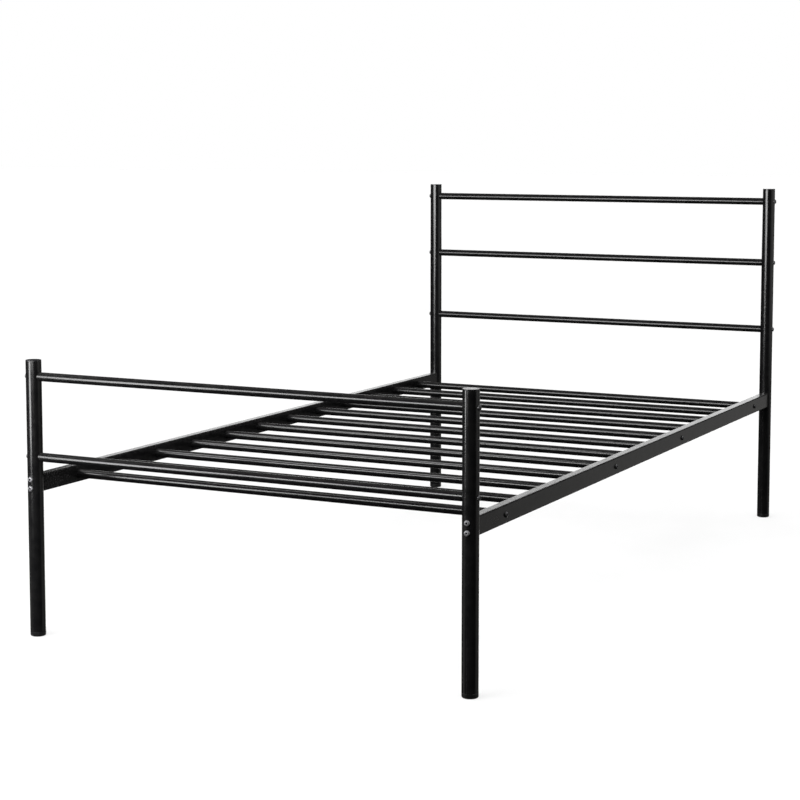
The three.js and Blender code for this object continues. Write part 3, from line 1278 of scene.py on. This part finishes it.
@dataclass
class BaseFrame:
    """Side rails, slats and the bolts that hold them."""

    slat_wall: float = 1.2 * MM
    plug: float = 18 * MM
    cope_gap: float = 0.3 * MM

    @staticmethod
    def slat_nodes() -> list[str]:
        """Names of the slats' design nodes, from the head to the foot."""
        return sorted(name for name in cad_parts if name.startswith("slat_") and "bolt" not in name)

    @staticmethod
    def is_bolted(node: str) -> bool:
        """Tells whether a slat is bolted to the side rails."""
        return f"{node}_bolt_left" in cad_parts

    def build(self, shop: Workshop) -> list[bpy.types.Object]:
        """Builds and dresses the rails, the slats and their bolts.

        Args:
            shop: workshop that dresses the pieces.

        Returns:
            The pieces.
        """
        post = NodeBox.of("headboard_post_right")
        cope = post.size.x / 2 + self.cope_gap
        bolts = [NodeBox.of(f"headboard_corner_bolt_{level}_left").centre.z for level in ("lower", "upper")]
        slats = []
        for node in self.slat_nodes():
            box = NodeBox.of(node)
            slats.append((box.centre, box.size.z / 2, self.is_bolted(node)))
        pieces = []
        for side, sign in (("left", -1), ("right", 1)):
            rail = SideRail(f"side_rail_{side}", sign, cope, post.centre.y, slats, bolts)
            pieces.append(rail.make(shop))
        for node in self.slat_nodes():
            plug = self.plug if self.is_bolted(node) else 0.0
            pieces.append(RoundBar(node, self.slat_wall, plug).make(shop))
            if plug:
                for side, sideways in (("left", Axis.LEFT), ("right", Axis.RIGHT)):
                    bolt = ButtonBolt(f"{node}_bolt_{side}", sideways, Finish.BLACK_ZINC)
                    pieces.append(bolt.make(shop))
        return pieces


# ------------------------------------------------------------------ studio
@dataclass(frozen=True)
class SoftBox:
    """Rectangular studio light, unseen by the camera. A gloss-only one just shows in reflections."""

    name: str
    place: tuple[float, float, float]
    target: tuple[float, float, float]
    width: float
    height: float
    brightness: float
    gloss_only: bool = False

    def build(self) -> bpy.types.Object:
        """Builds the light.

        Returns:
            The light object.
        """
        lamp = bpy.data.lights.new(self.name, "AREA")
        lamp.shape = "RECTANGLE"
        lamp.size = self.width
        lamp.size_y = self.height
        lamp.energy = self.brightness * math.pi * self.width * self.height
        light = linked(self.name, lamp)
        aim = Vector(self.target) - Vector(self.place)
        light.location = self.place
        light.rotation_euler = aim.to_track_quat("-Z", "Y").to_euler()
        light.visible_camera = False
        light.visible_diffuse = not self.gloss_only
        return light


Window = tuple[float, float, float, float]


@dataclass
class Studio:
    """Pale floor, soft lights and the camera."""

    camera_place: tuple[float, float, float] = (2.0057, -4.2287, 1.0660)
    heading: float = 26.841
    dip: float = 5.574
    lens: float = 87.53
    drop: float = -0.1
    sensor: float = 36
    far_clip: float = 200
    floor_size: float = 80.0
    floor_gap: float = 0.2 * MM
    floor_shades: tuple[float, float] = (0.17, 0.19)
    floor_glow: float = 0.665
    overhead_power: float = 6.2
    overhead_spread: float = 75
    overhead_tilt: tuple[float, float, float] = (8, -6, 0)
    glow_shade: tuple[float, float, float, float] = (1.0, 0.99, 0.97, 1.0)
    dim_glow: float = 0.012
    band_glow: float = 0.25
    side_share: float = 0.9
    rear_band: Window = (-0.55, -0.35, 0.40, 0.50)
    side_band: Window = (0.66, 0.80, 1.3, 1.5)
    band_height: Window = (-0.45, -0.30, 0.0, 0.08)
    strips: Sequence[tuple[Window, float]] = (
        ((-0.50, -0.42, -0.10, -0.02), 3.0), ((-2.15, -2.07, -1.75, -1.67), 0.4))
    strip_height: Window = (-0.62, -0.50, -0.24, -0.17)
    soft_boxes: Sequence[SoftBox] = (
        SoftBox("front_soft_box", (-0.59, -2.00, 0.71), (-0.59, 1.0, 0.71), 1.54, 0.42, 11.0),
        SoftBox("front_low_box", (-0.96, -2.00, 0.36), (-0.96, 1.0, 0.36), 0.48, 0.28, 13.0),
        SoftBox("front_wing", (-1.90, -2.00, 0.92), (-1.90, 1.0, 0.92), 1.08, 0.60, 6.0),
        SoftBox("bed_top_box", (-0.72, -0.90, 1.05), (-0.72, 1.0, 1.05), 1.45, 0.50, 6.2),
        SoftBox("right_fill", (4.2, 1.4, 1.2), (0.0, 0.6, 0.5), 5.0, 2.4, 0.5),
        SoftBox("back_panel", (-2.1, 5.2, 1.25), (-1.0, 0.0, 0.4), 5.0, 1.5, 1.6),
        SoftBox("high_right_box", (2.6, 0.2, 2.3), (0.0, 0.0, 0.4), 2.4, 0.8, 5.0, gloss_only=True),
        SoftBox("high_left_box", (-2.6, -0.9, 2.4), (0.0, 0.0, 0.4), 1.6, 0.5, 5.0, gloss_only=True),
    )

    def floor(self) -> bpy.types.Object:
        """Builds the floor: bright enough to read as white paper, with only soft contact shadows.

        Returns:
            The floor.
        """
        mesh = bmesh.new()
        bmesh.ops.create_grid(mesh, x_segments=8, y_segments=8, size=self.floor_size / 2)
        floor = loose(mesh, "studio_floor")
        floor.location.z = -self.floor_gap
        material, nodes, shader, where = start_material("pale_floor")
        mottled = nodes.spread(nodes.noise(where, 3.0, 3.0, 0.5), 0.2, 0.8)
        darker, lighter = ((shade, shade, shade, 1.0) for shade in self.floor_shades)
        colour = nodes.blend(mottled, darker, lighter)
        nodes.feed(shader.inputs["Base Color"], colour)
        shader.inputs["Roughness"].default_value = 0.9
        shader.inputs["Specular IOR Level"].default_value = 0.0
        shader.inputs["Emission Color"].default_value = (1.0, 1.0, 1.0, 1.0)
        shader.inputs["Emission Strength"].default_value = self.floor_glow
        floor.data.materials.append(material)
        floor.visible_glossy = False
        floor.visible_diffuse = False
        return floor

    @staticmethod
    def window(nodes: Nodes, value: object, edges: Window) -> bpy.types.NodeSocket:
        """Lets a range of a value through, with soft edges.

        Args:
            nodes: node helper of the surround.
            value: number or socket.
            edges: where it starts to rise, is full, starts to fall and is 0 again.

        Returns:
            A share from 0 to 1.
        """
        rise = nodes.spread(value, edges[0], edges[1])
        return nodes.math("MULTIPLY", rise, nodes.spread(value, edges[2], edges[3], 1.0, 0.0))

    def sky(self) -> None:
        """Sets a white surround behind the bed, dim as far as the bed's gloss is concerned."""
        world = bpy.data.worlds.new("studio_surround")
        bpy.context.scene.world = world
        world.use_nodes = True
        nodes = Nodes(world.node_tree)
        backdrop = next(n for n in world.node_tree.nodes if n.type == "BACKGROUND")
        output = next(n for n in world.node_tree.nodes if n.type == "OUTPUT_WORLD")
        backdrop.inputs["Color"].default_value = (1.0, 1.0, 1.0, 1.0)
        backdrop.inputs["Strength"].default_value = 1.0
        way = nodes.add("ShaderNodeSeparateXYZ", Vector=nodes.add("ShaderNodeTexCoord").outputs["Generated"])
        bearing = nodes.math("ARCTAN2", way.outputs["X"], way.outputs["Y"])
        sweep = self.window(nodes, bearing, self.rear_band)
        side = self.window(nodes, bearing, self.side_band)
        sweep = nodes.math("MULTIPLY_ADD", side, self.side_share, sweep)
        low = self.window(nodes, way.outputs["Z"], self.band_height)
        band = nodes.math("MULTIPLY", sweep, low)
        glow = nodes.math("MULTIPLY_ADD", band, self.band_glow, self.dim_glow)
        strips = 0.0
        for edges, brightness in self.strips:
            strip = self.window(nodes, bearing, edges)
            strips = nodes.math("MULTIPLY_ADD", strip, brightness, strips)
        steep = self.window(nodes, way.outputs["Z"], self.strip_height)
        glow = nodes.math("MULTIPLY_ADD", strips, steep, glow)
        dim = nodes.add("ShaderNodeBackground", Color=self.glow_shade, Strength=glow)
        seen = nodes.add("ShaderNodeLightPath").outputs["Is Camera Ray"]
        mix = nodes.add("ShaderNodeMixShader", Fac=seen)
        nodes.tree.links.new(dim.outputs["Background"], mix.inputs[1])
        nodes.tree.links.new(backdrop.outputs["Background"], mix.inputs[2])
        nodes.tree.links.new(mix.outputs["Shader"], output.inputs["Surface"])

    def overhead(self) -> bpy.types.Object:
        """Builds a broad light from above, which lifts the floor and draws the contact shadows.

        Returns:
            The light object.
        """
        lamp = bpy.data.lights.new("overhead_wash", "SUN")
        lamp.energy = self.overhead_power
        lamp.angle = math.radians(self.overhead_spread)
        light = linked("overhead_wash", lamp)
        light.rotation_euler = [math.radians(turn) for turn in self.overhead_tilt]
        light.visible_glossy = False
        return light

    def camera(self) -> bpy.types.Object:
        """Builds the camera and makes it the scene's own.

        Returns:
            The camera.
        """
        data = bpy.data.cameras.new("camera")
        data.lens = self.lens
        data.sensor_width = self.sensor
        data.shift_y = self.drop
        data.clip_end = self.far_clip
        camera = linked("camera", data)
        camera.location = self.camera_place
        camera.rotation_euler = (math.radians(90 - self.dip), 0, math.radians(self.heading))
        bpy.context.scene.camera = camera
        return camera

    def build(self) -> None:
        """Builds the camera, the floor, the surround and the lights."""
        self.camera()
        self.floor()
        self.sky()
        self.overhead()
        for box in self.soft_boxes:
            box.build()
        view = bpy.context.scene.view_settings
        view.view_transform = "Standard"
        view.look = "None"
        LOG.info("studio: camera, floor, surround and %d soft boxes", len(self.soft_boxes))


def main() -> None:
    """Builds the studio and the whole bed, and reports each piece."""
    logging.basicConfig(level=logging.INFO, format="%(name)s: %(message)s")
    Studio().build()
    shop = Workshop(SharedEffects())
    assemblies = (
        EndFrame("headboard", ("lower", "middle", "upper"), Axis.TO_HEAD),
        EndFrame("footboard", ("lower", "upper"), Axis.TO_FOOT),
        BaseFrame(),
    )
    for assembly in assemblies:
        pieces = assembly.build(shop)
        LOG.info("%s: %d pieces", type(assembly).__name__, len(pieces))


if __name__ == "__main__":
    main()
